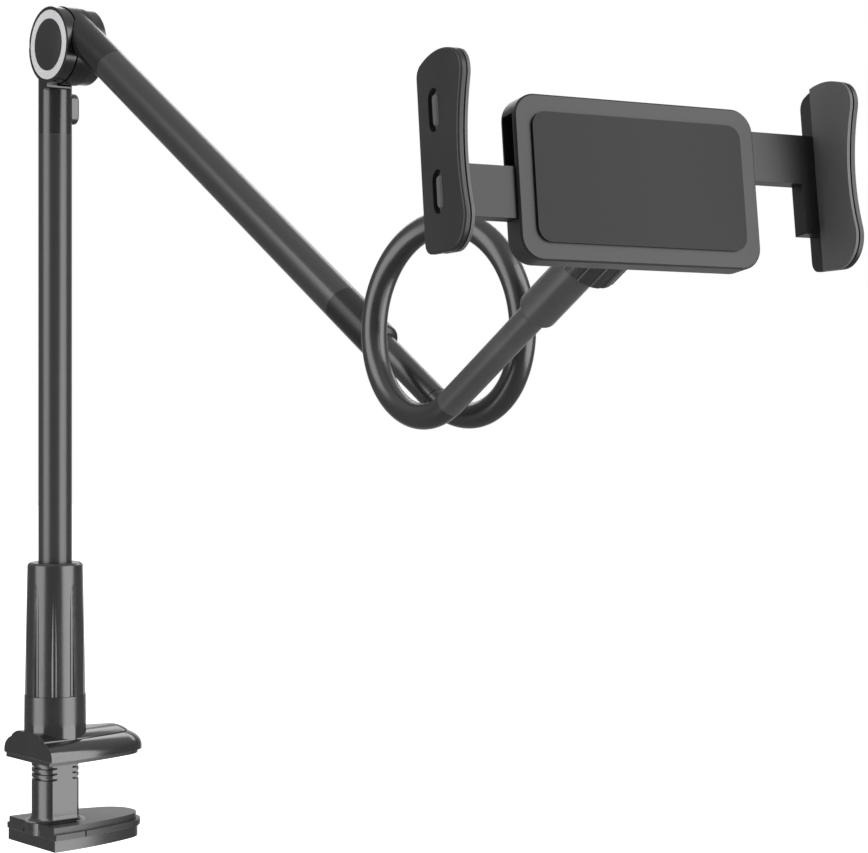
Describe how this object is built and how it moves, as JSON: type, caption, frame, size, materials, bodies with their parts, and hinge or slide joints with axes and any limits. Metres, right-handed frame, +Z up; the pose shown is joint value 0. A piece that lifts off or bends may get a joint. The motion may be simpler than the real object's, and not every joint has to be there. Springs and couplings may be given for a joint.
{
  "type": "desk clamp phone holder",
  "caption": "Desk-clamped phone holder: upright rod, folding elbow, straight arm, looped gooseneck and a spring cradle with sliding jaws on a ball joint.",
  "frame": {"origin": "on the clamp post's axis, in the plane of the desk's top face, where the upper jaw's pad sits", "axes": "+Z up the rod, +X the way the arm leans out, +Y the way the clamp's jaws reach over the desk"},
  "size_m": [0.5007, 0.165, 0.3992],
  "materials": {
    "charcoal_plastic": "satin",
    "black_rubber": "matte",
    "anodised_tube": "dark anodised",
    "coated_neck": "satin coated",
    "steel": "plain",
    "silver_ring": "satin anodised",
    "nylon": "plain"
  },
  "bodies": {
    "base": {"upper_jaw": "charcoal_plastic", "upper_jaw_pad": "black_rubber"},
    "sleeve": {"clamp_sleeve": "charcoal_plastic"},
    "post": {"lower_jaw": "charcoal_plastic", "lower_jaw_pad": "black_rubber"},
    "rod": {"lower_rod": "anodised_tube", "rod_foot": "charcoal_plastic", "base_washer": "steel", "base_screw": "steel", "elbow_yoke": "charcoal_plastic", "elbow_ring": "silver_ring", "elbow_cap": "charcoal_plastic", "far_cap": "charcoal_plastic", "elbow_bolt": "steel", "elbow_nut": "steel", "friction_washers": "nylon"},
    "button": {"release_button": "charcoal_plastic"},
    "arm": {"arm_knuckle": "charcoal_plastic", "upper_arm": "anodised_tube", "arm_end_socket": "charcoal_plastic", "root_ferrule": "coated_neck", "gooseneck": "coated_neck", "tip_ferrule": "coated_neck", "ball_stem": "charcoal_plastic"},
    "ring": {"lock_ring": "charcoal_plastic"},
    "ball": {"ball_stud": "steel"},
    "cradle": {"stud_retainer": "charcoal_plastic", "retainer_screws": "steel", "cradle_body": "charcoal_plastic", "cradle_cover": "charcoal_plastic", "cover_screws": "steel", "seat_pad": "black_rubber"},
    "left_jaw": {"left_jaw": "charcoal_plastic", "left_jaw_pad": "black_rubber"},
    "right_jaw": {"right_jaw": "charcoal_plastic", "right_jaw_pad": "black_rubber"}
  },
  "joints": [
    {"name": "sleeve_turn", "type": "hinge", "parent": "base", "child": "sleeve", "pos_m": [0, 0, 0], "axis": [0, 0, 1], "range_deg": [-3405.2, 1909.9]},
    {"name": "post_rise", "type": "slide", "parent": "base", "child": "post", "axis": [0, 0, 1], "range_m": [-0.014, 0.025]},
    {"name": "rod_turn", "type": "hinge", "parent": "post", "child": "rod", "pos_m": [0, 0, 0], "axis": [0, 0, 1], "continuous": true},
    {"name": "button_press", "type": "slide", "parent": "rod", "child": "button", "axis": [0, -1, 0], "range_m": [0, 0.002], "stiffness_N_per_m": 400},
    {"name": "elbow_fold", "type": "hinge", "parent": "rod", "child": "arm", "pos_m": [0.01055, 0, 0.3404], "axis": [0, 1, 0], "range_deg": [-122, 45]},
    {"name": "ring_turn", "type": "hinge", "parent": "arm", "child": "ring", "pos_m": [0.41719, -0.03545, 0.2301], "axis": [0.8535, -0.0995, 0.5116], "range_deg": [-90, 90]},
    {"name": "ball_tilt", "type": "hinge", "parent": "arm", "child": "ball", "pos_m": [0.41719, -0.03545, 0.2301], "axis": [0.216, 0.9762, -0.0207], "range_deg": [-58, 16]},
    {"name": "cradle_spin", "type": "hinge", "parent": "ball", "child": "cradle", "pos_m": [0.41719, -0.03545, 0.2301], "axis": [0.9652, -0.2103, 0.1557], "continuous": true},
    {"name": "left_jaw_slide", "type": "slide", "parent": "cradle", "child": "left_jaw", "axis": [-0.216, -0.9762, 0.0207], "range_m": [-0.0195, 0.018]},
    {"name": "right_jaw_slide", "type": "slide", "parent": "cradle", "child": "right_jaw", "axis": [0.216, 0.9762, -0.0207], "range_m": [-0.0195, 0.018]}
  ],
  "couplings": [
    {"joint": "sleeve_turn", "follows": "post_rise", "rad_per_m": -2371}
  ]
}
